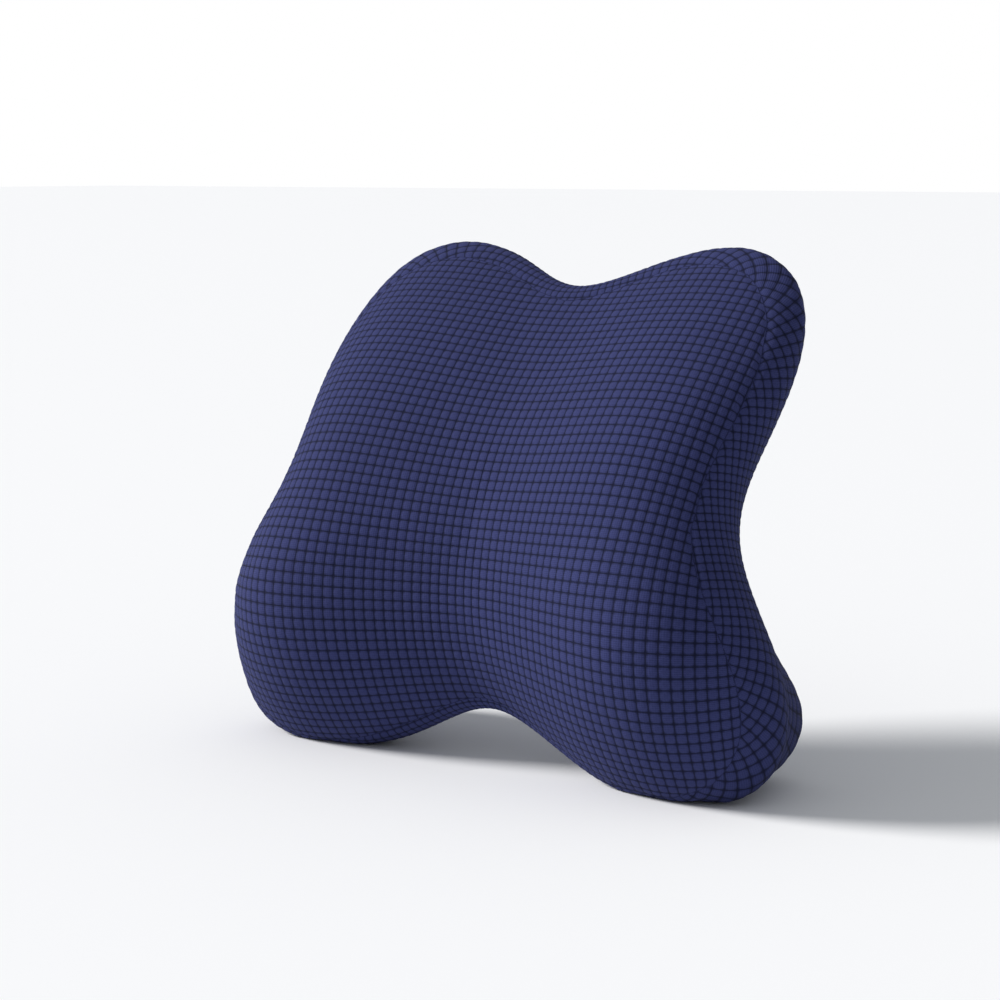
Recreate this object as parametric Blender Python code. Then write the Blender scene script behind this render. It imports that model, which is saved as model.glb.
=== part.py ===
"""A four-lobed lumbar support cushion: a moulded foam core in a thin liner and a zipped knit cover,
with an elastic strap and a side-release buckle across its back.

The front faces -Y, the lobes spread along X, and the cushion stands on its two lower lobes at Z = 0.
Sizes are in millimetres and angles in degrees; each mesh is scaled to metres as it is made.
"""

import bisect
import itertools
import math

import bmesh
import bpy
from mathutils import Matrix, Vector

MM = 0.001

# Overall size of the covered cushion.
WIDTH = 454.0
HEIGHT = 354.0
DEPTH = 203.0
FOOT_PRESS = 10.0  # how far the two lower lobes are pressed flat where they stand

# The outline seen from the front, as a radius that swells towards each lobe. The shape values below are in
# pattern units, about a millimetre each, which the overall size then scales.
WAIST_RADIUS = 121.0
WAIST_SQUASH = -8.6
TOP_LOBE = dict(reach=112.3, angle=44.2, sharpness=5.9)
LOWER_LOBE = dict(reach=138.4, angle=126.5, sharpness=6.5)

# The front and rear faces, as depth over (x, z) measured in PATTERN_UNIT from the middle of the outline.
PATTERN_UNIT = 180.0
FRONT_RISE = (-64.3, 58.8, 83.4, -5.3)
FRONT_VALLEY = (-108.2, 15.5, 20.3)
FRONT_WING = 69.7
REAR_RISE = (26.5, 32.1, 27.1)
TOP_PAD = dict(height=43.4, x=115.2, z=104.7, width=88.0, length=88.0, roundness=1.0)
REAR_FOOT = dict(height=62.0, x=155.0, z=-118.0, width=50.0, length=54.0, roundness=1.4)
FOOT_SPREAD = 32.0  # how far the rear feet lean outward
FOOT_DROP = 26.0  # and downward
RIM_PLACE = 0.47  # where the rim lies between the front face, 0, and the rear face, 1
RIM_TILT = 0.23
FRONT_FULLNESS = 2.56
REAR_FULLNESS = 3.5

# Layers, from the outside in.
COVER = 2.4
COVER_SLACK = 2.6
LINER = 0.8
LINER_SLACK = 0.4
GAP = 0.3  # between pieces that touch

# The sewn seam between the front panel and the rear panel, as an angle from the middle of the front face to the rim.
SEAM_ANGLE = 69.0
SEAM_GAP = 0.3

# The zip, which lies level across the rear panel.
ZIP_HEIGHT = 176.0
ZIP_LENGTH = 200.0
ZIP_TAPE_WIDTH = 9.0
ZIP_TAPE = 0.6
ZIP_COIL_WIDTH = 1.8
ZIP_COIL = 1.4
ZIP_COIL_SPACE = 1.0
ZIP_SLIDER_LENGTH = 10.0
ZIP_SLIDER_WIDTH = 8.0
ZIP_SLIDER_PLATE = 0.9
ZIP_SLOT_WIDTH = 11.0
ZIP_SINK = 2.0
PULL_LENGTH = 24.0
PULL_WIDTH = 6.0
PULL = 1.4
TAPE_OVERRUN = 8.0

# The care label beside the zip.
LABEL_X = 56.0
LABEL_WIDTH = 26.0
LABEL_DROP = 14.0
LABEL = 0.5

# The strap across the back.
STRAP_HEIGHT = 236.0
STRAP_WIDTH = 25.0
STRAP = 1.5
STRAP_END_X = 120.0
STRAP_SEWN = 26.0
ANCHOR_SINK = 1.0
STRAP_TAIL_X = 76.0
BUCKLE_LENGTH = 34.0
BUCKLE_WALL = 2.0
BUCKLE_THICKNESS = 9.0
BAR = 2.2
KEEPER_LENGTH = 9.0
KEEPER_WALL = 2.0
KEEPER_X = 47.0
RUNNING_GAP = 0.4

# How finely the soft shapes are cut into facets.
COLUMNS = 48
ROWS = (0.0, 0.12, 0.24, 0.36, 0.48, 0.6, 0.7, 0.79, 0.87)  # fractions of the way out to the rim
RIM_ROWS = (0.93, 0.97, 0.992)

CORE_DEPTH = COVER + COVER_SLACK + LINER + LINER_SLACK
LINER_DEPTH = COVER + COVER_SLACK


# ---- the cushion's shape

def lobe_pair(angle, lobe):
    swells = [math.exp(lobe["sharpness"] * (math.cos(angle - side * math.radians(lobe["angle"])) - 1))
              for side in (-1, 1)]
    return lobe["reach"] * sum(swells)


def outline_radius(angle):
    return (WAIST_RADIUS + WAIST_SQUASH * math.cos(2 * angle)
            + lobe_pair(angle, TOP_LOBE) + lobe_pair(angle, LOWER_LOBE))


def outline_slant(angle):
    """How much farther the outline is along a radius than straight across a layer."""
    step = 0.01
    turning = (outline_radius(angle + step) - outline_radius(angle - step)) / (2 * step)
    return math.hypot(1, turning / outline_radius(angle))


def column_angles():
    """Angles that cut the outline into nearly equal lengths, alike on both sides."""
    angles = [math.pi * i / 720 for i in range(721)]
    corners = [outline_radius(angle) * Vector((math.sin(angle), math.cos(angle))) for angle in angles]
    lengths = [0.0] + list(itertools.accumulate((b - a).length for a, b in zip(corners, corners[1:])))
    half = COLUMNS // 2
    right = [angles[bisect.bisect_left(lengths, lengths[-1] * i / half)] for i in range(half)] + [math.pi]
    return right + [math.tau - angle for angle in reversed(right[1:-1])]


def pad_pair(x, z, pad):
    """A pair of rounded swellings, mirrored across the middle, 1 at their centres."""
    away = ((z - pad["z"]) / pad["length"]) ** 2 + ((abs(x) - pad["x"]) / pad["width"]) ** 2
    return math.exp(-away ** pad["roundness"])


def face_depths(x, z):
    """The y of the front and the rear face at a point of the pattern."""
    across, up = x / PATTERN_UNIT, z / PATTERN_UNIT
    front = (sum(value * up ** power for power, value in enumerate(FRONT_RISE))
             + sum(value * up ** power for power, value in enumerate(FRONT_VALLEY)) * across ** 2
             + FRONT_WING * across ** 4)
    rear = sum(value * up ** power for power, value in enumerate(REAR_RISE))
    rear += TOP_PAD["height"] * pad_pair(x, z, TOP_PAD) + REAR_FOOT["height"] * pad_pair(x, z, REAR_FOOT)
    return Vector((front, rear))


def face_slants(x, z):
    """How much farther each face is straight back than straight across a layer."""
    step = 1.0
    along_x = (face_depths(x + step, z) - face_depths(x - step, z)) / (2 * step)
    along_z = (face_depths(x, z + step) - face_depths(x, z - step)) / (2 * step)
    return [math.hypot(1, along_x[i], along_z[i]) for i in range(2)]


def pattern_point(angle, turn, depth=0.0):
    """A point of the unscaled cushion, this deep inside its skin.

    turn goes from 0 in the middle of the front to 90 degrees at the rim and 180 at the middle of the rear.
    """
    front = turn <= math.pi / 2
    fullness = FRONT_FULLNESS if front else REAR_FULLNESS
    bulge = abs(math.cos(turn))
    reach = math.sin(turn) ** (2 / fullness) if 0 < turn < math.pi else 0.0
    radius = reach * (outline_radius(angle) - depth * outline_slant(angle))
    x, z = radius * math.sin(angle), radius * math.cos(angle)
    front_y, rear_y = face_depths(x, z)
    front_slant, rear_slant = face_slants(x, z) if depth else (0, 0)
    front_y += depth * front_slant
    rear_y -= depth * rear_slant
    place = RIM_PLACE + RIM_TILT * z / PATTERN_UNIT
    rim_y = front_y * (1 - place) + rear_y * place
    if front:
        return Vector((x, rim_y + (front_y - rim_y) * bulge, z))
    foot = pad_pair(x, z, REAR_FOOT) * bulge
    return Vector((x + math.copysign(FOOT_SPREAD, x) * foot, rim_y + (rear_y - rim_y) * bulge, z - FOOT_DROP * foot))


def pattern_box():
    steps = [(math.tau * i / 180, math.pi * j / 60) for i in range(180) for j in range(61)]
    points = [pattern_point(*step) for step in steps]
    low = Vector([min(p[axis] for p in points) for axis in range(3)])
    high = Vector([max(p[axis] for p in points) for axis in range(3)])
    return low, high


COLUMN_ANGLES = column_angles()
LOW, HIGH = pattern_box()
SCALE = Vector((WIDTH / (HIGH.x - LOW.x), DEPTH / (HIGH.y - LOW.y), (HEIGHT + FOOT_PRESS) / (HIGH.z - LOW.z)))
MID_Y = (LOW.y + HIGH.y) / 2


def scaled(point):
    return Vector((point.x * SCALE.x, (point.y - MID_Y) * SCALE.y, (point.z - LOW.z) * SCALE.z - FOOT_PRESS))


def rear_y(x, z):
    """The rear skin's y at (x, z), found by halving. It holds away from the rear feet."""
    flat_x = x / SCALE.x
    flat_z = (z + FOOT_PRESS) / SCALE.z + LOW.z
    angle = math.atan2(flat_x, flat_z)
    near, far = math.pi / 2, math.pi
    for _ in range(40):
        turn = (near + far) / 2
        point = pattern_point(angle, turn)
        if math.hypot(point.x, point.z) > math.hypot(flat_x, flat_z):
            near = turn
        else:
            far = turn
    return scaled(point).y


# ---- flats that sewing pulls into the back: one along the zip, and one under each end of the strap

def rear_slope(x, z, span):
    return (rear_y(x, z + span / 2) - rear_y(x, z - span / 2)) / span


ANCHOR_X = STRAP_END_X - STRAP_SEWN / 2
ANCHOR_Y = rear_y(ANCHOR_X, STRAP_HEIGHT) - ANCHOR_SINK
STRAP_SLOPE = rear_slope(ANCHOR_X, STRAP_HEIGHT, STRAP_WIDTH)
ZIP_Y = rear_y(0, ZIP_HEIGHT) - ZIP_SINK
ZIP_SLOPE = rear_slope(0, ZIP_HEIGHT, 2 * ZIP_TAPE_WIDTH)
FLAT_FADE = 34.0
FACET = 26.0

ZIP_FLAT = dict(x=0.0, z=ZIP_HEIGHT, half_x=ZIP_LENGTH / 2 + TAPE_OVERRUN + FACET / 2,
                half_z=ZIP_TAPE_WIDTH + FACET / 2 + 4, y=ZIP_Y, slope=ZIP_SLOPE)
STRAP_FLATS = [dict(x=side * ANCHOR_X, z=STRAP_HEIGHT, half_x=STRAP_SEWN / 2 + FACET / 2,
                    half_z=STRAP_WIDTH / 2 + 4, y=ANCHOR_Y, slope=STRAP_SLOPE) for side in (-1, 1)]


def frame_on_back(y, height, slope):
    """A frame on the back: X to the right, Y out of the back and Z up along it."""
    return Matrix.Translation((0, y, height)) @ Matrix.Rotation(-math.atan(slope), 4, "X")


ZIP_FRAME = frame_on_back(ZIP_Y, ZIP_HEIGHT, ZIP_SLOPE)
STRAP_FRAME = frame_on_back(ANCHOR_Y, STRAP_HEIGHT, STRAP_SLOPE)


def fade(distance):
    """1 inside a flat, 0 past its fading edge, and smooth between."""
    step = min(max(1 - distance / FLAT_FADE, 0.0), 1.0)
    return step * step * (3 - 2 * step)


def flattened(point, depth):
    for flat in [ZIP_FLAT] + STRAP_FLATS:
        beyond_x = max(abs(point.x - flat["x"]) - flat["half_x"], 0.0)
        beyond_z = max(abs(point.z - flat["z"]) - flat["half_z"], 0.0)
        weight = fade(math.hypot(beyond_x, beyond_z))
        plane_y = flat["y"] + flat["slope"] * (point.z - flat["z"]) - depth * math.hypot(1, flat["slope"])
        point.y += (plane_y - point.y) * weight
    return point


def layer_point(angle, turn, depth):
    """A point this deep under the finished skin, which is pressed level where the cushion stands."""
    point = scaled(pattern_point(angle, turn, depth))
    if turn > math.pi / 2:
        point = flattened(point, depth)
    point.z = max(point.z, depth)
    return point


# ---- making meshes

def material(name, color, roughness, metallic=0.0):
    made = bpy.data.materials.new(name)
    made.use_nodes = True
    shader = made.node_tree.nodes["Principled BSDF"]
    shader.inputs["Base Color"].default_value = (*color, 1)
    shader.inputs["Roughness"].default_value = roughness
    shader.inputs["Metallic"].default_value = metallic
    made.diffuse_color = (*color, 1)
    return made


def object_from(name, mesh, finish, smooth_angle=30):
    """Puts a bmesh, in millimetres, into the scene as one named object in metres."""
    bmesh.ops.recalc_face_normals(mesh, faces=mesh.faces)
    bmesh.ops.scale(mesh, vec=Vector((MM, MM, MM)), verts=mesh.verts)
    data = bpy.data.meshes.new(name)
    mesh.to_mesh(data)
    mesh.free()
    data.materials.append(finish)
    data.shade_smooth()
    data.set_sharp_from_angle(angle=math.radians(smooth_angle))
    made = bpy.data.objects.new(name, data)
    bpy.context.scene.collection.objects.link(made)
    return made


def from_boxes(name, solids, cuts, finish, frame, edge=0.0):
    """Boxes joined together and then cut by other boxes, each a (low, high) pair of corners, with bevelled edges.

    All of the boxes share one grid, so the result is one closed mesh.
    """
    lines = [sorted({box[end][axis] for box in solids + cuts for end in (0, 1)}) for axis in range(3)]

    def within(box, point):
        return all(low < value < high for low, value, high in zip(box[0], point, box[1]))

    def filled(cell):
        if any(not 0 <= cell[axis] < len(lines[axis]) - 1 for axis in range(3)):
            return False
        middle = [(lines[axis][cell[axis]] + lines[axis][cell[axis] + 1]) / 2 for axis in range(3)]
        return any(within(box, middle) for box in solids) and not any(within(box, middle) for box in cuts)

    mesh = bmesh.new()
    corners = {}

    def corner(index):
        if index not in corners:
            corners[index] = mesh.verts.new([lines[axis][index[axis]] for axis in range(3)])
        return corners[index]

    for cell in itertools.product(*[range(len(line) - 1) for line in lines]):
        if not filled(cell):
            continue
        for axis, end in itertools.product(range(3), (0, 1)):
            beyond = list(cell)
            beyond[axis] += 2 * end - 1
            if filled(beyond):
                continue
            quad = []
            for step in ((0, 0), (1, 0), (1, 1), (0, 1)):
                index = list(cell)
                index[axis] += end
                index[(axis + 1) % 3] += step[0]
                index[(axis + 2) % 3] += step[1]
                quad.append(corner(tuple(index)))
            mesh.faces.new(quad)
    bmesh.ops.recalc_face_normals(mesh, faces=mesh.faces)
    bmesh.ops.dissolve_limit(mesh, angle_limit=math.radians(1), verts=mesh.verts, edges=mesh.edges)
    if edge:
        outer = [item for item in mesh.edges if item.is_convex and item.calc_face_angle(0.0) > 0.1]
        bmesh.ops.bevel(mesh, geom=outer, offset=edge, segments=1, affect="EDGES", clamp_overlap=True)
    bmesh.ops.transform(mesh, matrix=frame, verts=mesh.verts)
    return object_from(name, mesh, finish)


def cut_box(target, name, low, high, frame):
    """Cuts a box out of a soft panel."""
    cutter = from_boxes(name, [(low, high)], [], HELPER, frame)
    cutter.hide_render = True
    cutter.display_type = "WIRE"
    step = target.modifiers.new(name, "BOOLEAN")
    step.operation = "DIFFERENCE"
    step.object = cutter


def grid_rows(mesh, turns, depth):
    """Rings of points around the cushion, one for each turn, with a single point where a ring closes up."""
    rows = []
    for turn in turns:
        angles = [0.0] if turn in (0.0, math.pi) else COLUMN_ANGLES
        rows.append([mesh.verts.new(layer_point(angle, turn, depth)) for angle in angles])
    return rows


def bridge(mesh, first, second):
    """Faces between two neighbouring rings."""
    for i in range(COLUMNS):
        after = (i + 1) % COLUMNS
        if len(first) == 1:
            mesh.faces.new((first[0], second[i], second[after]))
        elif len(second) == 1:
            mesh.faces.new((first[i], second[0], first[after]))
        else:
            mesh.faces.new((first[i], second[i], second[after], first[after]))


def skin_layer(mesh, turns, depth):
    rows = grid_rows(mesh, turns, depth)
    for first, second in zip(rows, rows[1:]):
        bridge(mesh, first, second)
    return rows


def shell(name, turns, outer, inner, finish):
    """A thin panel between two depths, open along its edge, which is the last or the first ring."""
    mesh = bmesh.new()
    outside = skin_layer(mesh, turns, outer)
    inside = skin_layer(mesh, turns, inner)
    edge = -1 if len(outside[0]) == 1 else 0
    bridge(mesh, outside[edge], inside[edge])
    return object_from(name, mesh, finish)


def turns_at(reaches, fullness):
    return [math.asin(reach ** (fullness / 2)) for reach in reaches]


# ---- the scene

for old in list(bpy.data.objects):
    bpy.data.objects.remove(old)

NAVY_KNIT = material("navy_knit", (0.045, 0.051, 0.145), 0.85)
LINER_KNIT = material("liner_knit", (0.80, 0.80, 0.78), 0.9)
FOAM = material("foam", (0.86, 0.83, 0.74), 0.95)
ZIP_CLOTH = material("zip_cloth", (0.030, 0.034, 0.095), 0.8)
ZIP_NYLON = material("zip_nylon", (0.035, 0.040, 0.110), 0.4)
ZIP_METAL = material("zip_metal", (0.32, 0.33, 0.35), 0.35, 1.0)
WEBBING = material("webbing", (0.012, 0.013, 0.022), 0.8)
BUCKLE_PLASTIC = material("buckle_plastic", (0.010, 0.010, 0.012), 0.45)
HELPER = material("helper", (0.8, 0.2, 0.2), 1.0)
LABEL_CLOTH = material("label_cloth", (0.82, 0.82, 0.80), 0.85)

SEAM_TURN = math.radians(SEAM_ANGLE)
SEAM_STEP = SEAM_GAP / 2 / (DEPTH / 3)
FRONT_TURNS = turns_at(ROWS, FRONT_FULLNESS) + [SEAM_TURN - SEAM_STEP]
REAR_TURNS = ([SEAM_TURN + SEAM_STEP] + turns_at(RIM_ROWS[1:], FRONT_FULLNESS) + [math.pi / 2]
              + [math.pi - turn for turn in reversed(turns_at(ROWS + RIM_ROWS, REAR_FULLNESS))])


# The foam core: one moulded block that gives the cushion its shape.
core_mesh = bmesh.new()
skin_layer(core_mesh, FRONT_TURNS[:-1] + [SEAM_TURN] + REAR_TURNS[1:], CORE_DEPTH)
object_from("foam_core", core_mesh, FOAM)

# The liner: two thin knit halves sewn around the core.
shell("liner_front", FRONT_TURNS, LINER_DEPTH, LINER_DEPTH + LINER, LINER_KNIT)
shell("liner_rear", REAR_TURNS, LINER_DEPTH, LINER_DEPTH + LINER, LINER_KNIT)

# The cover: a front panel, and a rear panel in two pieces with the zip between them.
shell("cover_front_panel", FRONT_TURNS, 0.0, COVER, NAVY_KNIT)
FAR = 2 * (WIDTH + HEIGHT + DEPTH)
for place, side in (("upper", 1), ("lower", -1)):
    panel = shell(f"cover_rear_{place}_panel", REAR_TURNS, 0.0, COVER, NAVY_KNIT)
    other_half = sorted((-side * FAR, side * SEAM_GAP / 2))
    slot = sorted((-side * SEAM_GAP, side * ZIP_SLOT_WIDTH / 2))
    slot_end = ZIP_LENGTH / 2 + GAP
    cut_box(panel, f"cut_rear_{place}", (-FAR, -FAR, other_half[0]), (FAR, FAR, other_half[1]), ZIP_FRAME)
    cut_box(panel, f"cut_slot_{place}", (-slot_end, -2 * COVER, slot[0]), (slot_end, 2 * COVER, slot[1]), ZIP_FRAME)


# The zip: two tapes under the panels' edges, a coil on each, stops at the ends, and the slider with its pull.
TAPE_OUT = -COVER - GAP
TAPE_IN = TAPE_OUT - ZIP_TAPE
COIL_IN = TAPE_OUT + GAP
COIL_OUT = COIL_IN + ZIP_COIL
COIL_NEAR = ZIP_COIL_SPACE / 2
COIL_FAR = COIL_NEAR + ZIP_COIL_WIDTH
STOP_LENGTH = 2.5
COIL_END = ZIP_LENGTH / 2 - STOP_LENGTH - GAP


def zip_half(side, low, high):
    """A box of the upper half, or its mirror image for the lower half."""
    z = sorted((side * low[2], side * high[2]))
    return [((low[0], low[1], z[0]), (high[0], high[1], z[1]))]


TAPE_END = ZIP_LENGTH / 2 + TAPE_OVERRUN
for place, side in (("upper", 1), ("lower", -1)):
    from_boxes(f"zip_tape_{place}", zip_half(side, (-TAPE_END, TAPE_IN, COIL_NEAR),
                                             (TAPE_END, TAPE_OUT, COIL_NEAR + ZIP_TAPE_WIDTH)), [], ZIP_CLOTH, ZIP_FRAME)
    from_boxes(f"zip_coil_{place}", zip_half(side, (-COIL_END, COIL_IN, COIL_NEAR), (COIL_END, COIL_OUT, COIL_FAR)),
               [], ZIP_NYLON, ZIP_FRAME, edge=0.3)
    from_boxes(f"zip_top_stop_{place}", zip_half(side, (COIL_END + GAP, COIL_IN, COIL_NEAR),
                                                 (COIL_END + GAP + STOP_LENGTH, COIL_OUT, COIL_FAR)),
               [], ZIP_METAL, ZIP_FRAME, edge=0.3)
from_boxes("zip_bottom_stop", [((-ZIP_LENGTH / 2, COIL_IN, -COIL_FAR), (-COIL_END - GAP, COIL_OUT, COIL_FAR))],
           [], ZIP_METAL, ZIP_FRAME, edge=0.3)

# The slider: a plate over the coils and one under the tapes, joined by a thin post that runs between the coils.
SLIDER_HIGH_X = COIL_END - 1.0
SLIDER_LOW_X = SLIDER_HIGH_X - ZIP_SLIDER_LENGTH
TOP_PLATE_IN = COIL_OUT + RUNNING_GAP
TOP_PLATE_OUT = TOP_PLATE_IN + ZIP_SLIDER_PLATE
LOW_PLATE_OUT = TAPE_IN - RUNNING_GAP
LOW_PLATE_IN = LOW_PLATE_OUT - ZIP_SLIDER_PLATE
POST = ZIP_COIL_SPACE / 2 - 0.15
LUG_X = SLIDER_LOW_X + ZIP_SLIDER_LENGTH / 2
LUG_WIDTH = 2.0
LUG_LENGTH = 6.0
LUG_HEIGHT = 4.0
PULL_HOLE = 1.6
PULL_HOLE_HALF_HEIGHT = 1.15

# The lug on its top is a small arch, which the pull's cross-bar passes through.
PIN_Y = TOP_PLATE_OUT + LUG_HEIGHT / 2
from_boxes("zip_slider", [
    ((SLIDER_LOW_X, LOW_PLATE_IN, -ZIP_SLIDER_WIDTH / 2), (SLIDER_HIGH_X, TOP_PLATE_OUT, ZIP_SLIDER_WIDTH / 2)),
    ((LUG_X - LUG_LENGTH / 2, TOP_PLATE_IN, -LUG_WIDTH / 2),
     (LUG_X + LUG_LENGTH / 2, TOP_PLATE_OUT + LUG_HEIGHT, LUG_WIDTH / 2))], [
    ((SLIDER_LOW_X - 5, LOW_PLATE_OUT, -ZIP_SLIDER_WIDTH), (SLIDER_HIGH_X + 5, TOP_PLATE_IN, -POST / 2)),
    ((SLIDER_LOW_X - 5, LOW_PLATE_OUT, POST / 2), (SLIDER_HIGH_X + 5, TOP_PLATE_IN, ZIP_SLIDER_WIDTH)),
    ((LUG_X - PULL_HOLE, PIN_Y - PULL_HOLE_HALF_HEIGHT, -LUG_WIDTH),
     (LUG_X + PULL_HOLE, PIN_Y + PULL_HOLE_HALF_HEIGHT, LUG_WIDTH))], ZIP_METAL, ZIP_FRAME, edge=0.25)

# The pull: a flat tab with a window, whose cross-bar passes through the lug. It lies along the zip at rest.
from_boxes("zip_pull", [((LUG_X - PULL_LENGTH, PIN_Y - PULL / 2, -PULL_WIDTH / 2),
                         (LUG_X + PULL / 2, PIN_Y + PULL / 2, PULL_WIDTH / 2))], [
    ((LUG_X - LUG_LENGTH / 2 - 1.0 - PULL / 2, PIN_Y - PULL, -LUG_WIDTH / 2 - RUNNING_GAP),
     (LUG_X - PULL / 2, PIN_Y + PULL, LUG_WIDTH / 2 + RUNNING_GAP)),
    ((LUG_X - PULL_LENGTH + 3.5, PIN_Y - PULL, -1.1), (LUG_X - PULL_LENGTH + 12.0, PIN_Y + PULL, 1.1))],
    ZIP_METAL, ZIP_FRAME, edge=0.3)


# ---- the strap, in a frame whose X runs along it, Y stands out from the back and Z is its width
STRAP_IN = GAP
STRAP_OUT = STRAP_IN + STRAP
HALF_WIDTH = STRAP_WIDTH / 2
SOCKET_RIGHT = -6.0
SOCKET_LEFT = SOCKET_RIGHT - BUCKLE_LENGTH
BUCKLE_HALF = HALF_WIDTH + GAP + 4.0
BAR_REACH = BAR / math.sqrt(2) + GAP + STRAP / 2  # from a bar's middle to the middle of the strap round it
BUCKLE_Y = STRAP_IN + STRAP / 2 + BAR_REACH


def ribbon(name, centre_line, finish):
    """Webbing that follows a line of (x, y) points, as one closed band of even thickness."""
    left, right = [], []
    for i, point in enumerate(centre_line):
        before = centre_line[max(i - 1, 0)]
        after = centre_line[min(i + 1, len(centre_line) - 1)]
        along = Vector((after[0] - before[0], after[1] - before[1])).normalized()
        across = Vector((-along.y, along.x)) * STRAP / 2
        left.append((point[0] + across.x, point[1] + across.y))
        right.append((point[0] - across.x, point[1] - across.y))
    ring = left + right[::-1]
    mesh = bmesh.new()
    face = mesh.faces.new([mesh.verts.new((x, y, -HALF_WIDTH)) for x, y in ring])
    grown = bmesh.ops.extrude_face_region(mesh, geom=[face])
    moved = [item for item in grown["geom"] if isinstance(item, bmesh.types.BMVert)]
    bmesh.ops.translate(mesh, vec=(0, 0, STRAP_WIDTH), verts=moved)
    bmesh.ops.transform(mesh, matrix=STRAP_FRAME, verts=mesh.verts)
    return object_from(name, mesh, finish)


def wrapped_line(side, end_x, bar_x, tail_x):
    """The strap's centre line: in from its sewn end, round the bar at bar_x, and back over itself to tail_x."""
    low = STRAP_IN + STRAP / 2
    high = low + 2 * BAR_REACH
    turned = [(bar_x - side * BAR_REACH * math.sin(math.pi * i / 8), BUCKLE_Y - BAR_REACH * math.cos(math.pi * i / 8))
              for i in range(9)]
    rest = low + STRAP + GAP
    drop = 9.0
    down = [(bar_x + side * drop, high - (high - rest) * 0.15), (bar_x + side * 2 * drop, rest)]
    return [(end_x, low)] + turned + down + [(tail_x, rest)]


LEFT_BAR_X = SOCKET_LEFT - BAR / 2 + 4.0
RIGHT_BAR_X = SOCKET_RIGHT + 16.0
ribbon("strap_left", wrapped_line(-1, -STRAP_END_X, LEFT_BAR_X, LEFT_BAR_X - 48.0), WEBBING)
ribbon("strap_right", wrapped_line(1, STRAP_END_X, RIGHT_BAR_X, STRAP_TAIL_X), WEBBING)


# The buckle's socket: a flat housing with its mouth to the right and a strap bar at its left.
HOUSE_OUT = BUCKLE_THICKNESS / 2
HOUSE_LEFT = SOCKET_LEFT + 12.0
SIDE_WALL = 3.0
EYE_HALF = HALF_WIDTH + GAP
FAR_OUT = 3 * BUCKLE_THICKNESS
from_boxes("buckle_socket", [
    ((LEFT_BAR_X - BAR / 2, BUCKLE_Y - HOUSE_OUT, -BUCKLE_HALF), (SOCKET_RIGHT, BUCKLE_Y + HOUSE_OUT, BUCKLE_HALF))], [
    # the room for the prongs, the window in each side that they spring into, and the eye for the strap
    ((HOUSE_LEFT, BUCKLE_Y - HOUSE_OUT + BUCKLE_WALL, -BUCKLE_HALF + SIDE_WALL),
     (SOCKET_RIGHT + 5, BUCKLE_Y + HOUSE_OUT - BUCKLE_WALL, BUCKLE_HALF - SIDE_WALL)),
    ((HOUSE_LEFT + 4.0, BUCKLE_Y - 1.8, -BUCKLE_HALF - 5), (HOUSE_LEFT + 13.0, BUCKLE_Y + 1.8, BUCKLE_HALF + 5)),
    ((LEFT_BAR_X + BAR / 2, BUCKLE_Y - FAR_OUT, -EYE_HALF), (HOUSE_LEFT - 2.0, BUCKLE_Y + FAR_OUT, EYE_HALF)),
    # the bar is thinner than the housing
    ((LEFT_BAR_X - BAR, BUCKLE_Y + BAR / 2, -EYE_HALF), (LEFT_BAR_X + BAR / 2, BUCKLE_Y + FAR_OUT, EYE_HALF)),
    ((LEFT_BAR_X - BAR, BUCKLE_Y - FAR_OUT, -EYE_HALF), (LEFT_BAR_X + BAR / 2, BUCKLE_Y - BAR / 2, EYE_HALF))],
    BUCKLE_PLASTIC, STRAP_FRAME, edge=0.7)

# The buckle's prong half: a frame with a strap bar, and a guide tongue between two arms that enter the mouth.
PRONG_OUT = HOUSE_OUT - BUCKLE_WALL - RUNNING_GAP
PRONG_HALF = BUCKLE_HALF - SIDE_WALL - RUNNING_GAP
PRONG_RIGHT = RIGHT_BAR_X + BAR / 2
PRONG_TIP = HOUSE_LEFT + 1.0
FLANGE_LEFT = SOCKET_RIGHT + RUNNING_GAP
FLANGE = 5.0
ARM = 3.4
TONGUE = 3.0
from_boxes("buckle_prong", [
    ((FLANGE_LEFT, BUCKLE_Y - HOUSE_OUT, -BUCKLE_HALF), (FLANGE_LEFT + FLANGE, BUCKLE_Y + HOUSE_OUT, BUCKLE_HALF)),
    ((FLANGE_LEFT, BUCKLE_Y - PRONG_OUT, -BUCKLE_HALF), (PRONG_RIGHT, BUCKLE_Y + PRONG_OUT, BUCKLE_HALF)),
    ((PRONG_TIP, BUCKLE_Y - PRONG_OUT, -PRONG_HALF), (FLANGE_LEFT, BUCKLE_Y + PRONG_OUT, -PRONG_HALF + ARM)),
    ((PRONG_TIP, BUCKLE_Y - PRONG_OUT, PRONG_HALF - ARM), (FLANGE_LEFT, BUCKLE_Y + PRONG_OUT, PRONG_HALF)),
    ((PRONG_TIP + 4.0, BUCKLE_Y - PRONG_OUT, -TONGUE), (FLANGE_LEFT, BUCKLE_Y + PRONG_OUT, TONGUE))], [
    ((FLANGE_LEFT + FLANGE, BUCKLE_Y - FAR_OUT, -EYE_HALF), (RIGHT_BAR_X - BAR / 2, BUCKLE_Y + FAR_OUT, EYE_HALF)),
    ((RIGHT_BAR_X - BAR / 2, BUCKLE_Y + BAR / 2, -EYE_HALF), (RIGHT_BAR_X + BAR, BUCKLE_Y + FAR_OUT, EYE_HALF)),
    ((RIGHT_BAR_X - BAR / 2, BUCKLE_Y - FAR_OUT, -EYE_HALF), (RIGHT_BAR_X + BAR, BUCKLE_Y - BAR / 2, EYE_HALF))],
    BUCKLE_PLASTIC, STRAP_FRAME, edge=0.5)

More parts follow.
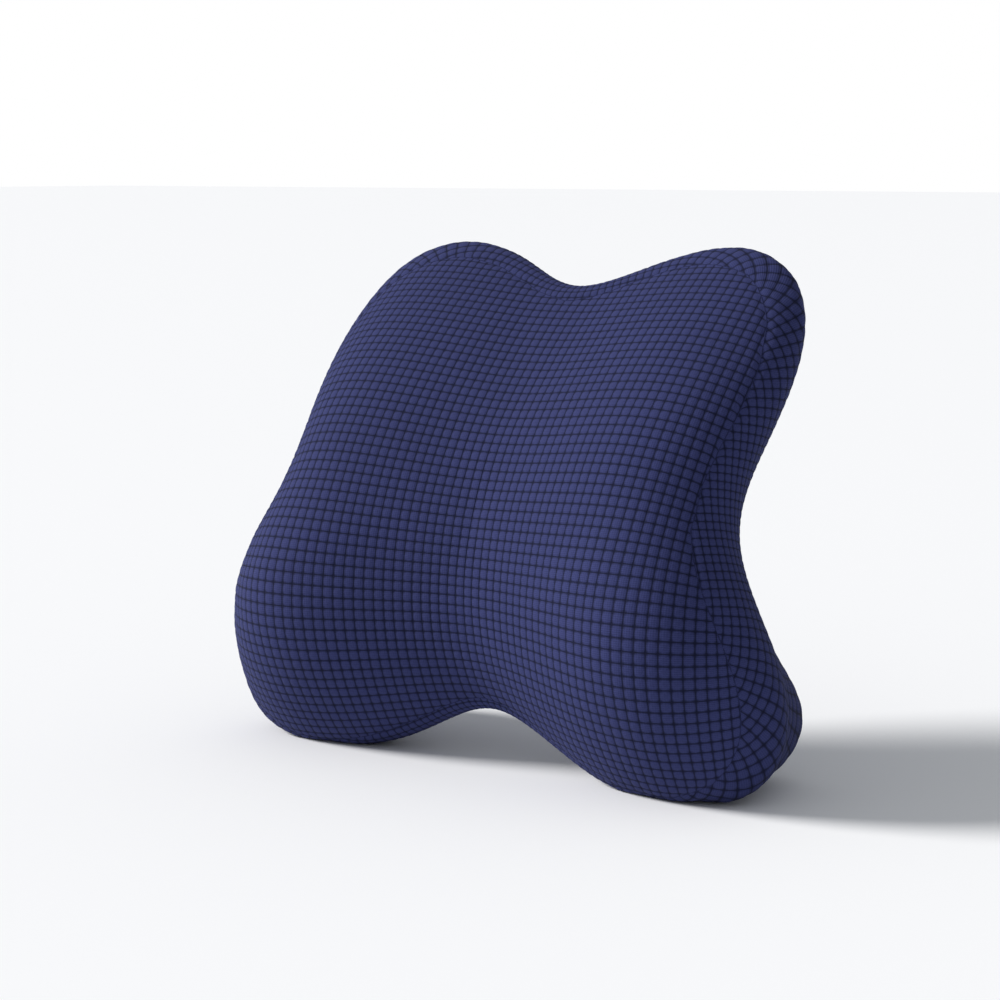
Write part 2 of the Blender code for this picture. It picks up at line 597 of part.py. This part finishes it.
# The keeper: a loop round both layers of the strap that holds its tail down.
KEEPER_LOW = STRAP_IN - RUNNING_GAP
KEEPER_HIGH = STRAP_OUT + GAP + STRAP + RUNNING_GAP
KEEPER_HALF = HALF_WIDTH + RUNNING_GAP
from_boxes("strap_keeper", [
    ((KEEPER_X, KEEPER_LOW - KEEPER_WALL, -KEEPER_HALF - KEEPER_WALL),
     (KEEPER_X + KEEPER_LENGTH, KEEPER_HIGH + KEEPER_WALL, KEEPER_HALF + KEEPER_WALL))], [
    ((KEEPER_X - 5, KEEPER_LOW, -KEEPER_HALF), (KEEPER_X + KEEPER_LENGTH + 5, KEEPER_HIGH, KEEPER_HALF))],
    BUCKLE_PLASTIC, STRAP_FRAME, edge=0.6)

# The care label: a blank strip sewn into the zip's lower seam.
LABEL_TOP = -ZIP_SLOT_WIDTH / 2 - 1.0
from_boxes("care_label", [((LABEL_X, GAP, LABEL_TOP - LABEL_DROP), (LABEL_X + LABEL_WIDTH, GAP + LABEL, LABEL_TOP))],
           [], LABEL_CLOTH, ZIP_FRAME)
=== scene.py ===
"""A four-lobed lumbar support cushion in a waffle-knit cover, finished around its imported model."""

import math

import bmesh
import bpy
import numpy as np
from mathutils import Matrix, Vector
from mathutils.kdtree import KDTree


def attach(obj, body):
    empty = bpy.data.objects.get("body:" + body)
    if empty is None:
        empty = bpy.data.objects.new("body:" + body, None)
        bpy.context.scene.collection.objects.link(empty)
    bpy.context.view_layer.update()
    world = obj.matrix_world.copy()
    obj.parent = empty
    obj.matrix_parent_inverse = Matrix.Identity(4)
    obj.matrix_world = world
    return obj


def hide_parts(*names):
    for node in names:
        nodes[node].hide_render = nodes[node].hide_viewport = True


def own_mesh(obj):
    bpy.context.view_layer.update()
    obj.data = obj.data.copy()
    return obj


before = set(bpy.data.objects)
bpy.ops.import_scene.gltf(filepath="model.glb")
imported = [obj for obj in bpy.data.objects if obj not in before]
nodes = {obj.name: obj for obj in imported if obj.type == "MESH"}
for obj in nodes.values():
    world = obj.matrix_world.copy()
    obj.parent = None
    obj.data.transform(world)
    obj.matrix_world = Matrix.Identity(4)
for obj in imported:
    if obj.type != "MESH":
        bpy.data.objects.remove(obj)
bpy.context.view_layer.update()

scene = bpy.context.scene


# ---- Floor, light and camera
# A plain pale floor under soft studio light. The key light stands low on the left, a little behind the cushion,
# and a white room fills the shadows. The camera looks at the cushion's right front corner from just above it.
bpy.ops.object.select_all(action="DESELECT")
bpy.ops.mesh.primitive_plane_add(size=60)
floor = bpy.context.object
floor.name = "floor"
floor_paint = bpy.data.materials.new("floor_paint")
floor_paint.use_nodes = True
floor_paint.node_tree.nodes["Principled BSDF"].inputs["Base Color"].default_value = (0.93, 0.935, 0.945, 1)
floor_paint.node_tree.nodes["Principled BSDF"].inputs["Roughness"].default_value = 0.9
floor.data.materials.append(floor_paint)

KEY_HEIGHT = math.radians(30)
KEY_BEARING = math.radians(-117)
key = bpy.data.objects.new("key_light", bpy.data.lights.new("key_light", "SUN"))
key.data.energy = 3.9
key.data.angle = math.radians(16)
key.data.color = (1.0, 0.985, 0.97)
toward_key = Vector((math.sin(KEY_BEARING) * math.cos(KEY_HEIGHT), math.cos(KEY_BEARING) * math.cos(KEY_HEIGHT),
                     math.sin(KEY_HEIGHT)))
key.rotation_euler = toward_key.to_track_quat("Z", "Y").to_euler()
scene.collection.objects.link(key)

ROOM = 0.43
room = bpy.data.worlds.new("room")
scene.world = room
room.use_nodes = True
room_nodes, room_links = room.node_tree.nodes, room.node_tree.links
fill = room_nodes["Background"]
fill.inputs["Color"].default_value = (0.93, 0.96, 1.0, 1)
fill.inputs["Strength"].default_value = ROOM
white = room_nodes.new("ShaderNodeBackground")
white.inputs["Color"].default_value = (1, 1, 1, 1)
seen = room_nodes.new("ShaderNodeLightPath")
either = room_nodes.new("ShaderNodeMixShader")
room_links.new(seen.outputs["Is Camera Ray"], either.inputs[0])
room_links.new(fill.outputs[0], either.inputs[1])
room_links.new(white.outputs[0], either.inputs[2])
room_links.new(either.outputs[0], room_nodes["World Output"].inputs["Surface"])
scene.view_settings.view_transform = "Standard"

camera = bpy.data.objects.new("camera", bpy.data.cameras.new("camera"))
camera.data.lens = 91.8
camera.data.clip_start = 0.01
camera.location = (1.0162, -1.4194, 0.4116)
camera.rotation_euler = (math.radians(90 - 7.57), 0, math.radians(36.1))
scene.collection.objects.link(camera)
scene.camera = camera


# ---- The stuffed body
# A moulded foam block inside a stretched knit cover. The block's points are smoothed into one skin, the cover's
# thickness is put back on, and air pressure then fills it out between the sewn seam, the feet and the flat back.
SKIN = 0.0062          # how deep the foam lies under the cover's face
MOST_SWELL = 0.0022    # how far the pressure may move it
MIDDLE_HEIGHT = 0.176
LINING_REACH = 0.0025  # a point this near both linings lies on the seam


def read(mesh, count=None):
    found = np.empty(len(mesh.vertices) * 3)
    mesh.vertices.foreach_get("co", found)
    return found.reshape(-1, 3)[:count]


def normals_of(mesh):
    found = np.empty(len(mesh.vertices) * 3)
    mesh.vertices.foreach_get("normal", found)
    return found.reshape(-1, 3)


def write(mesh, points):
    mesh.vertices.foreach_set("co", points.ravel())
    mesh.update()


def tree_of(points):
    tree = KDTree(len(points))
    for i, p in enumerate(points):
        tree.insert(p, i)
    tree.balance()
    return tree


block = bmesh.new()
block.from_mesh(nodes["foam_core"].data)
bmesh.ops.remove_doubles(block, verts=block.verts, dist=1e-5)
bmesh.ops.join_triangles(block, faces=block.faces, angle_face_threshold=math.radians(60),
                         angle_shape_threshold=math.radians(80))
block.verts.ensure_lookup_table()

# the seam runs where the front and the rear lining meet
front_edge = tree_of(read(nodes["liner_front"].data))
rear_edge = tree_of(read(nodes["liner_rear"].data))
on_seam = [v for v in block.verts
           if front_edge.find(v.co)[2] < LINING_REACH and rear_edge.find(v.co)[2] < LINING_REACH]
on_seam.sort(key=lambda v: math.atan2(v.co.x, v.co.z - MIDDLE_HEIGHT))
sewn = list(zip(on_seam, on_seam[1:] + on_seam[:1]))
for pair in sewn:
    if not any(e.other_vert(pair[0]) is pair[1] for e in pair[0].link_edges):
        bmesh.ops.connect_vert_pair(block, verts=pair)
for a, b in sewn:
    for edge in a.link_edges:
        if edge.other_vert(a) is b:
            edge.seam = True
on_seam = [v.index for v in on_seam]
shape = bpy.data.meshes.new("cushion_cover")
block.to_mesh(shape)
block.free()
body = bpy.data.objects.new("cushion_cover", shape)
scene.collection.objects.link(body)
wanted = read(shape)
body.vertex_groups.new(name="seam").add(on_seam, 1.0, "REPLACE")
held = body.vertex_groups.new(name="held")
held.add(on_seam, 1.0, "REPLACE")
held.add([i for i, p in enumerate(wanted) if p[2] < SKIN + 0.0005], 1.0, "REPLACE")
# the back stays flat under the zip and the strap ends
held.add([i for i, p in enumerate(wanted) if p[1] > 0 and abs(p[0]) < 0.13 and 0.14 < p[2] < 0.27], 1.0, "REPLACE")

# smoothing draws the points inward, so each is moved out until the smooth skin passes through its old place
smooth = body.modifiers.new("smooth", "SUBSURF")
smooth.levels = smooth.render_levels = 1
moved = wanted.copy()
for _ in range(4):
    graph = bpy.context.evaluated_depsgraph_get()
    moved += (wanted - read(body.evaluated_get(graph).to_mesh(), len(wanted))) * 0.9
    write(shape, moved)
bpy.ops.object.select_all(action="DESELECT")
bpy.context.view_layer.objects.active = body
body.select_set(True)
bpy.ops.object.modifier_apply(modifier="smooth")
shape = body.data
skin = read(shape) + normals_of(shape) * SKIN
skin[:, 2] = np.maximum(skin[:, 2], 0.0)
write(shape, skin)

air = body.modifiers.new("air", "CLOTH")
air.settings.quality = 6
air.settings.mass = 0.3
air.settings.tension_stiffness = air.settings.compression_stiffness = 30
air.settings.bending_stiffness = 2
air.settings.use_pressure = True
air.settings.uniform_pressure_force = 4
air.settings.vertex_group_mass = "held"
air.settings.effector_weights.gravity = 0
for step in range(1, 13):
    scene.frame_set(step)
graph = bpy.context.evaluated_depsgraph_get()
swell = read(body.evaluated_get(graph).to_mesh()) - skin
body.modifiers.remove(air)
scene.frame_set(1)
far = np.linalg.norm(swell, axis=1, keepdims=True)
skin = skin + swell * np.minimum(1, MOST_SWELL / np.maximum(far, 1e-9))
skin[:, 2] = np.maximum(skin[:, 2], 0.0)
write(shape, skin)


# ---- The knit cover
# Two panels of navy waffle knit, a front and a rear, sewn edge to edge near the rim. Each is cut flat, so the skin is
# unrolled flat, and the knit's square cells, puffed up between thin grooves, follow that flat pattern.
CELL = 0.006
GROOVE = 0.0006
SEAM_DIP = 0.0007
SEAM_WIDTH = 0.003

bpy.ops.object.mode_set(mode="EDIT")
bpy.ops.mesh.select_all(action="SELECT")
bpy.ops.uv.unwrap(method="ANGLE_BASED", margin=0.02)
bpy.ops.object.mode_set(mode="OBJECT")
body.data.uv_layers.active.name = "knit"
smooth = body.modifiers.new("smooth", "SUBSURF")
smooth.levels = smooth.render_levels = 1
bpy.ops.object.modifier_apply(modifier="smooth")
shape = body.data

# the flat pattern is turned to stand level with the cushion and given its real size
skin = read(shape)
flat = np.empty(len(shape.loops) * 2)
shape.uv_layers.active.data.foreach_get("uv", flat)
flat = flat.reshape(-1, 2)
loop_points = np.empty(len(shape.loops), int)
shape.loops.foreach_get("vertex_index", loop_points)
face_of_loop = np.repeat(np.arange(len(shape.polygons)), [len(p.vertices) for p in shape.polygons])
linked = {}
for number, polygon in enumerate(shape.polygons):
    for edge in polygon.edge_keys:
        linked.setdefault(edge, []).append(number)
cut = {tuple(sorted(e.vertices)) for e in shape.edges if e.use_seam}
beside = [[] for _ in shape.polygons]
for edge, pair in linked.items():
    if edge not in cut and len(pair) == 2:
        beside[pair[0]].append(pair[1])
        beside[pair[1]].append(pair[0])
panel = np.full(len(shape.polygons), -1)
count = 0
for first in range(len(shape.polygons)):
    if panel[first] < 0:
        panel[first], waiting = count, [first]
        while waiting:
            for other in beside[waiting.pop()]:
                if panel[other] < 0:
                    panel[other] = count
                    waiting.append(other)
        count += 1
for number in range(count):
    mine = panel[face_of_loop] == number
    uv, solid = flat[mine], skin[loop_points[mine]]
    near = np.argsort(np.abs(solid[:, 0]) + np.abs(solid[:, 2] - 0.24))[:400]
    fit = np.linalg.lstsq(np.c_[solid[near][:, [0, 2]], np.ones(len(near))], uv[near], rcond=None)[0]
    size = (np.linalg.norm(fit[0]) + np.linalg.norm(fit[1])) / 2
    turn = math.atan2(fit[0][1], fit[0][0])
    turned = (uv - uv[near].mean(0)) @ np.array([[math.cos(turn), -math.sin(turn)], [math.sin(turn), math.cos(turn)]])
    flat[mine] = turned / size
shape.uv_layers.active.data.foreach_set("uv", flat.ravel())

smooth = body.modifiers.new("smooth", "SUBSURF")
smooth.levels = smooth.render_levels = 2
bpy.ops.object.modifier_apply(modifier="smooth")
shape = body.data
skin, outward = read(shape), normals_of(shape)
flat = np.empty(len(shape.loops) * 2)
shape.uv_layers.active.data.foreach_get("uv", flat)
loop_points = np.empty(len(shape.loops), int)
shape.loops.foreach_get("vertex_index", loop_points)
pattern = np.zeros((len(skin), 2))
pattern[loop_points] = flat.reshape(-1, 2)
puff = (np.abs(np.sin(math.pi * pattern / CELL)).prod(1)) ** 0.35
group = body.vertex_groups["seam"].index
on_line = np.array([v.index for v in shape.vertices if any(g.group == group and g.weight > 0.999 for g in v.groups)])
line = skin[on_line]
onward = np.argsort(np.arctan2(line[:, 0], line[:, 2] - MIDDLE_HEIGHT))
line, seam_normal = line[onward], outward[on_line][onward]
seam_tree = tree_of(line)
from_seam = np.array([seam_tree.find(p)[2] for p in skin])
dip = SEAM_DIP * np.exp(-((from_seam / SEAM_WIDTH) ** 2))
puff_fade = np.clip(from_seam / 0.002, 0, 1)

# the rear panel's cut for the zip: its edges turn in beside the tapes
ZIP_TILT = math.atan(0.244)
ZIP_UP = np.array((0, math.sin(ZIP_TILT), math.cos(ZIP_TILT)))
ZIP_OUT = np.array((0, math.cos(ZIP_TILT), -math.sin(ZIP_TILT)))
ZIP_MIDDLE = np.array((0, 0.03268, 0.176))
ZIP_HALF = 0.1003
SLOT_HALF = 0.0055
SLOT_DEPTH = 0.0045


def eased(value):
    value = np.clip(value, 0, 1)
    return value * value * (3 - 2 * value)


height = (skin - ZIP_MIDDLE) @ ZIP_UP
slot = eased((SLOT_HALF + 0.0009 - np.abs(height)) / 0.0011) * eased((ZIP_HALF - np.abs(skin[:, 0])) / 0.0015)
slot *= skin[:, 1] > 0
skin = skin - outward * (GROOVE * (1 - puff) * puff_fade + dip)[:, None] - ZIP_OUT * (SLOT_DEPTH * slot)[:, None]
skin[:, 2] = np.maximum(skin[:, 2], 0.0)
write(shape, skin)
shape.polygons.foreach_set("use_smooth", [True] * len(shape.polygons))
for group in list(body.vertex_groups):
    body.vertex_groups.remove(group)


class Wire:
    """A value in a material, so that shader sums are written as plain expressions."""

    def __init__(self, tree, socket=None):
        self.tree, self.socket = tree, socket

    def node(self, kind, settings=(), inputs=(), output=0):
        made = self.tree.nodes.new("ShaderNode" + kind)
        for name, value in dict(settings).items():
            setattr(made, name, value)
        for name, value in dict(inputs).items():
            if isinstance(value, Wire):
                self.tree.links.new(value.socket, made.inputs[name])
            else:
                made.inputs[name].default_value = value
        return Wire(self.tree, made.outputs[output])

    def maths(self, operation, *values):
        return self.node("Math", {"operation": operation}, dict(enumerate(values)))

    def __add__(self, other):
        return self.maths("ADD", self, other)

    def __mul__(self, other):
        return self.maths("MULTIPLY", self, other)

    def __sub__(self, other):
        return self.maths("SUBTRACT", self, other)

    def __rsub__(self, other):
        return self.maths("SUBTRACT", other, self)

    def __pow__(self, other):
        return self.maths("POWER", self, other)

    def wave(self, spacing):
        """0 at each multiple of the spacing and 1 half way between."""
        return self.maths("ABSOLUTE", self.maths("SINE", self * (math.pi / spacing)))

    def between(self, low, high):
        return self.node("MapRange", {"interpolation_type": "SMOOTHSTEP"},
                         {"Value": self, "From Min": low, "From Max": high})

    def mix(self, first, second):
        return self.node("Mix", {"data_type": "RGBA"}, {0: self, 6: first, 7: second}, 2)

    __radd__, __rmul__ = __add__, __mul__


def finish(name, roughness, **constants):
    """A material, a place to start its sums from, and its surface node."""
    made = bpy.data.materials.new(name)
    made.use_nodes = True
    surface = made.node_tree.nodes["Principled BSDF"]
    surface.inputs["Roughness"].default_value = roughness
    # a keyword's underscores stand for the spaces in its socket's name
    for socket, value in constants.items():
        surface.inputs[socket.replace("_", " ")].default_value = value
    return made, Wire(made.node_tree), surface


def spot_on(start, kind):
    if kind == "Object":
        return start.node("TexCoord", (), (), 3)
    return start.node("UVMap", {"uv_map": kind})


def place(start, kind="Object"):
    """The three coordinates of each point, on the object or on the named flat pattern."""
    spot = start.node("SeparateXYZ", (), {0: spot_on(start, kind)})
    return [Wire(start.tree, socket) for socket in spot.socket.node.outputs]


def speckle(start, scale, detail=2.0, kind="Object"):
    return start.node("TexNoise", (), {"Vector": spot_on(start, kind), "Scale": scale, "Detail": detail})


def connect(start, surface, colour, height, strength, distance, rough=None):
    """Joins a finish's colour, its relief and, where it varies, its roughness to the surface."""
    start.tree.links.new(colour.socket, surface.inputs["Base Color"])
    if rough is not None:
        start.tree.links.new(rough.socket, surface.inputs["Roughness"])
    raised = start.node("Bump", (), {"Strength": strength, "Distance": distance, "Height": height})
    start.tree.links.new(raised.socket, surface.inputs["Normal"])


# knit cells: puffed faces between grooves, each face ribbed by its rows of stitches. Painted shade darkens the colour
# in the grooves and between the stitch rows; the yarn speckle and the patches are random tone
knit, start, surface = finish("navy_waffle_knit", 0.88, Sheen_Weight=0.02, Sheen_Roughness=0.5,
                              Sheen_Tint=(0.62, 0.6, 0.95, 1), Specular_IOR_Level=0.12)
across, up, _ = place(start, "knit")
cushioned = (across.wave(CELL) * up.wave(CELL)) ** 0.35
rows = up.wave(0.00105) * 0.7 + across.wave(0.0013) * 0.3
yarn = speckle(start, 900, 3, "knit")
patchy = speckle(start, 14, 2, "knit")
groove_shade_and_yarn_tone = cushioned.between(0.25, 0.85) * (rows * 0.45 + 0.62) * (yarn * 0.35 + 0.82) * (patchy * 0.22 + 0.89)
navy = groove_shade_and_yarn_tone.mix((0.006, 0.008, 0.028, 1), (0.034, 0.041, 0.132, 1))
connect(start, surface, navy, cushioned * 0.55 + rows * 0.30 + yarn * 0.12, 0.75, 0.0008)
shape.materials.clear()
shape.materials.append(knit)
body.name = "cushion_cover"
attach(body, "cushion")
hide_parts("foam_core", "liner_front", "liner_rear", "cover_front_panel", "cover_rear_upper_panel",
            "cover_rear_lower_panel")


# ---- The seam
# The two cover panels are overlocked together inside out and turned. Only the drawn-in line and a sunk row of navy
# thread show between them.
THREAD = 0.00045

curve = bpy.data.curves.new("seam_thread", "CURVE")
curve.dimensions = "3D"
curve.bevel_depth = THREAD
curve.bevel_resolution = 1
run = curve.splines.new("POLY")
run.points.add(len(line) - 1)
for i, (spot, p) in enumerate(zip(run.points, line)):
    inward = seam_normal[i]
    spot.co = (*(p - inward * (SEAM_DIP + THREAD * 0.6 + THREAD * 0.25 * math.sin(i * 1.3))), 1)
run.use_cyclic_u = True
thread = bpy.data.objects.new("seam_thread", curve)
scene.collection.objects.link(thread)
bpy.ops.object.select_all(action="DESELECT")
bpy.context.view_layer.objects.active = thread
thread.select_set(True)
bpy.ops.object.convert(target="MESH")
thread = bpy.context.object
thread_cloth, start, surface = finish("navy_thread", 0.9, Specular_IOR_Level=0.1)
x, y, z = place(start)
# painted shade: the thread's colour is darker in the hollows between its plies, where its relief sinks
plies = (x + y + z).wave(0.0009)
connect(start, surface, plies.mix((0.006, 0.008, 0.028, 1), (0.026, 0.031, 0.10, 1)), plies, 0.6, 0.0003)
thread.data.materials.append(thread_cloth)
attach(thread, "cushion")


# ---- The zip
# A nylon coil zip in the rear panel, so that the cover comes off the foam. Two woven tapes carry the coils, with metal
# stops at their ends, and a moulded slider with a flat pull runs along them.
TOOTH_PITCH = 0.0013


def remake(name, piece_name, finish_of, edge):
    """The node's own form as a new piece: its points merged, its edges rounded and its finish put on."""
    source = bmesh.new()
    source.from_mesh(nodes[name].data)
    bmesh.ops.remove_doubles(source, verts=source.verts, dist=1e-6)
    bmesh.ops.dissolve_limit(source, angle_limit=math.radians(2), verts=source.verts, edges=source.edges)
    made = bpy.data.meshes.new(piece_name)
    source.to_mesh(made)
    source.free()
    piece = bpy.data.objects.new(piece_name, made)
    scene.collection.objects.link(piece)
    rounded = piece.modifiers.new("edge", "BEVEL")
    rounded.width = edge
    rounded.segments = 2
    rounded.limit_method = "ANGLE"
    rounded.angle_limit = math.radians(50)
    bpy.ops.object.select_all(action="DESELECT")
    bpy.context.view_layer.objects.active = piece
    piece.select_set(True)
    bpy.ops.object.modifier_apply(modifier="edge")
    bpy.ops.object.shade_smooth_by_angle(angle=math.radians(35))
    piece.data.materials.clear()
    piece.data.materials.append(finish_of)
    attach(piece, "cushion")
    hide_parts(name)
    return piece


tape_cloth, start, surface = finish("zip_tape_cloth", 0.85, Sheen_Weight=0.2)
x, y, z = place(start)
# painted shade with random tone: the tape is coloured darker in the hollows of its weave, where its relief sinks, and
# varied at random by the speckle
weave = x.wave(0.0007) * 0.5 + z.wave(0.0005) * 0.5
weave_shade_and_tone = weave * (speckle(start, 500) * 0.5 + 0.6)
connect(start, surface, weave_shade_and_tone.mix((0.008, 0.010, 0.030, 1), (0.038, 0.044, 0.115, 1)), weave, 0.6, 0.0003)
for side in ("upper", "lower"):
    remake("zip_tape_" + side, "zip_tape_cloth_" + side, tape_cloth, 0.0001)

nylon, start, surface = finish("zip_nylon", 0.38, Coat_Weight=0.15)
connect(start, surface, speckle(start, 300).mix((0.010, 0.012, 0.034, 1), (0.030, 0.034, 0.090, 1)),
        speckle(start, 1500), 0.3, 0.0001)
for side, sign in (("upper", 1), ("lower", -1)):
    bar = read(nodes["zip_coil_" + side].data)
    local = np.c_[bar[:, 0], (bar - ZIP_MIDDLE) @ ZIP_OUT, (bar - ZIP_MIDDLE) @ ZIP_UP]
    low, high = local.min(0), local.max(0)
    tooth = bmesh.new()
    bmesh.ops.create_cube(tooth, size=1)
    bmesh.ops.scale(tooth, vec=(TOOTH_PITCH * 0.72, high[1] - low[1], high[2] - low[2]), verts=tooth.verts)
    bmesh.ops.bevel(tooth, geom=tooth.edges[:], offset=TOOTH_PITCH * 0.22, segments=1, affect="EDGES")
    one = bpy.data.meshes.new("tooth")
    tooth.to_mesh(one)
    tooth.free()
    count = int((high[0] - low[0]) / TOOTH_PITCH)
    corners, faces = [], []
    for n in range(count):
        middle = (low + high) / 2
        middle[0] = low[0] + (n + (0.25 if sign > 0 else 0.75)) * TOOTH_PITCH
        first = len(corners)
        corners += [ZIP_MIDDLE + np.array((1, 0, 0)) * (middle[0] + v.co.x) + ZIP_OUT * (middle[1] + v.co.y)
                    + ZIP_UP * (middle[2] + v.co.z) for v in one.vertices]
        faces += [tuple(first + i for i in p.vertices) for p in one.polygons]
    made = bpy.data.meshes.new("zip_teeth_" + side)
    made.from_pydata(corners, [], faces)
    made.update()
    teeth = bpy.data.objects.new("zip_teeth_" + side, made)
    scene.collection.objects.link(teeth)
    made.materials.append(nylon)
    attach(teeth, "cushion")
    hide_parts("zip_coil_" + side)

metal, start, surface = finish("brushed_zip_metal", 0.34, Metallic=1.0)
worn = speckle(start, 120, 4)
connect(start, surface, worn.mix((0.10, 0.105, 0.13, 1), (0.24, 0.245, 0.27, 1)), speckle(start, 800), 0.25, 0.0001,
        rough=worn * 0.25 + 0.25)
for name in ("zip_top_stop_upper", "zip_top_stop_lower", "zip_bottom_stop", "zip_slider", "zip_pull"):
    for spot in nodes[name].material_slots:
        spot.material = metal


# ---- Stitching
# Each tape is held by a row of lockstitch beside the zip's opening, and each strap end by a sewn box.
STITCH = 0.0026
STITCH_GAP = 0.0009
STRAP_TILT = math.atan(0.64)
STRAP_UP = np.array((0, math.sin(STRAP_TILT), math.cos(STRAP_TILT)))
STRAP_OUT = np.array((0, math.cos(STRAP_TILT), -math.sin(STRAP_TILT)))
STRAP_MIDDLE = np.array((0, 0.0768, 0.236))


def sew(name, middle, out, up, lift, runs):
    """Stitches along straight runs, each from and to (x, height) on the face through middle."""
    bead = bmesh.new()
    bmesh.ops.create_cube(bead, size=1)
    bmesh.ops.scale(bead, vec=(STITCH, 0.0005, 0.0005), verts=bead.verts)
    bmesh.ops.bevel(bead, geom=bead.edges[:], offset=0.00018, segments=1, affect="EDGES")
    one = bpy.data.meshes.new("stitch")
    bead.to_mesh(one)
    bead.free()
    corners, faces = [], []
    for (x0, h0), (x1, h1) in runs:
        length = math.hypot(x1 - x0, h1 - h0)
        along = ((x1 - x0) / length, (h1 - h0) / length)
        for n in range(int(length / (STITCH + STITCH_GAP))):
            reach = (n + 0.5) * (STITCH + STITCH_GAP)
            first = len(corners)
            for v in one.vertices:
                x = x0 + along[0] * (reach + v.co.x) - along[1] * v.co.z
                h = h0 + along[1] * (reach + v.co.x) + along[0] * v.co.z
                corners.append(middle + np.array((x, 0, 0)) + up * h + out * (lift + v.co.y))
            faces += [tuple(first + i for i in p.vertices) for p in one.polygons]
    made = bpy.data.meshes.new(name)
    made.from_pydata(corners, [], faces)
    made.update()
    stitches = bpy.data.objects.new(name, made)
    scene.collection.objects.link(stitches)
    made.materials.append(thread_cloth)
    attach(stitches, "cushion")
    return stitches


sew("zip_stitching", ZIP_MIDDLE, ZIP_OUT, ZIP_UP, 0.0001,
    [((-ZIP_HALF, h), (ZIP_HALF, h)) for h in (-0.0082, 0.0082)])
for name, sign in (("left", -1), ("right", 1)):
    inner, outer = 0.097 * sign, 0.1175 * sign
    sew("strap_end_stitching_" + name, STRAP_MIDDLE, STRAP_OUT, STRAP_UP, 0.0019,
        [((inner, -0.0095), (outer, -0.0095)), ((outer, -0.0095), (outer, 0.0095)), ((outer, 0.0095), (inner, 0.0095)),
         ((inner, 0.0095), (inner, -0.0095)), ((inner, -0.0095), (outer, 0.0095)), ((inner, 0.0095), (outer, -0.0095))])


# ---- The straps and their buckle
# Two lengths of woven webbing hold the cushion to a seat back. Each is sewn to the rear panel, passes round a bar of
# the side-release buckle and folds back as a tail, the right one's held by a sliding keeper.
webbing, start, surface = finish("black_webbing", 0.7, Sheen_Weight=0.15)
x, y, z = place(start)
# painted shade with random tone: the webbing is coloured darker in the hollows between its ribs, where its relief
# sinks, and varied at random by the speckle
ribs = (x + z * 0.35).wave(0.0016) * 0.6 + z.wave(0.0021) * 0.4
weave_shade_and_tone = ribs * (speckle(start, 700) * 0.5 + 0.6)
connect(start, surface, weave_shade_and_tone.mix((0.004, 0.004, 0.006, 1), (0.030, 0.031, 0.040, 1)), ribs, 0.8, 0.0005)
remake("strap_left", "webbing_left", webbing, 0.0003)
strap_right = remake("strap_right", "webbing_right", webbing, 0.0003)
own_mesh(strap_right)

moulded, start, surface = finish("moulded_black_plastic", 0.42, Specular_IOR_Level=0.45)
grain = speckle(start, 1400, 2)
scuffed = speckle(start, 60, 4)
connect(start, surface, scuffed.mix((0.008, 0.008, 0.009, 1), (0.022, 0.022, 0.025, 1)), grain, 0.35, 0.0002,
        rough=scuffed * 0.25 + 0.32)
for name in ("buckle_socket", "buckle_prong", "strap_keeper"):
    for spot in nodes[name].material_slots:
        spot.material = moulded


# ---- The label
# A plain strip of satin ribbon caught in the rear seam beside the zip, left blank.
satin, start, surface = finish("white_satin", 0.45, Sheen_Weight=0.2)
x, y, z = place(start)
# painted shade with random tone: the ribbon is coloured darker in the hollows between its threads, where its relief
# sinks, and varied at random by the speckle
threads = x.wave(0.0004) * 0.5 + z.wave(0.0006) * 0.5
weave_shade_and_tone = threads * (speckle(start, 200) * 0.4 + 0.7)
connect(start, surface, weave_shade_and_tone.mix((0.60, 0.60, 0.58, 1), (0.82, 0.82, 0.80, 1)), threads, 0.35, 0.0002)
remake("care_label", "blank_label", satin, 0.0001)
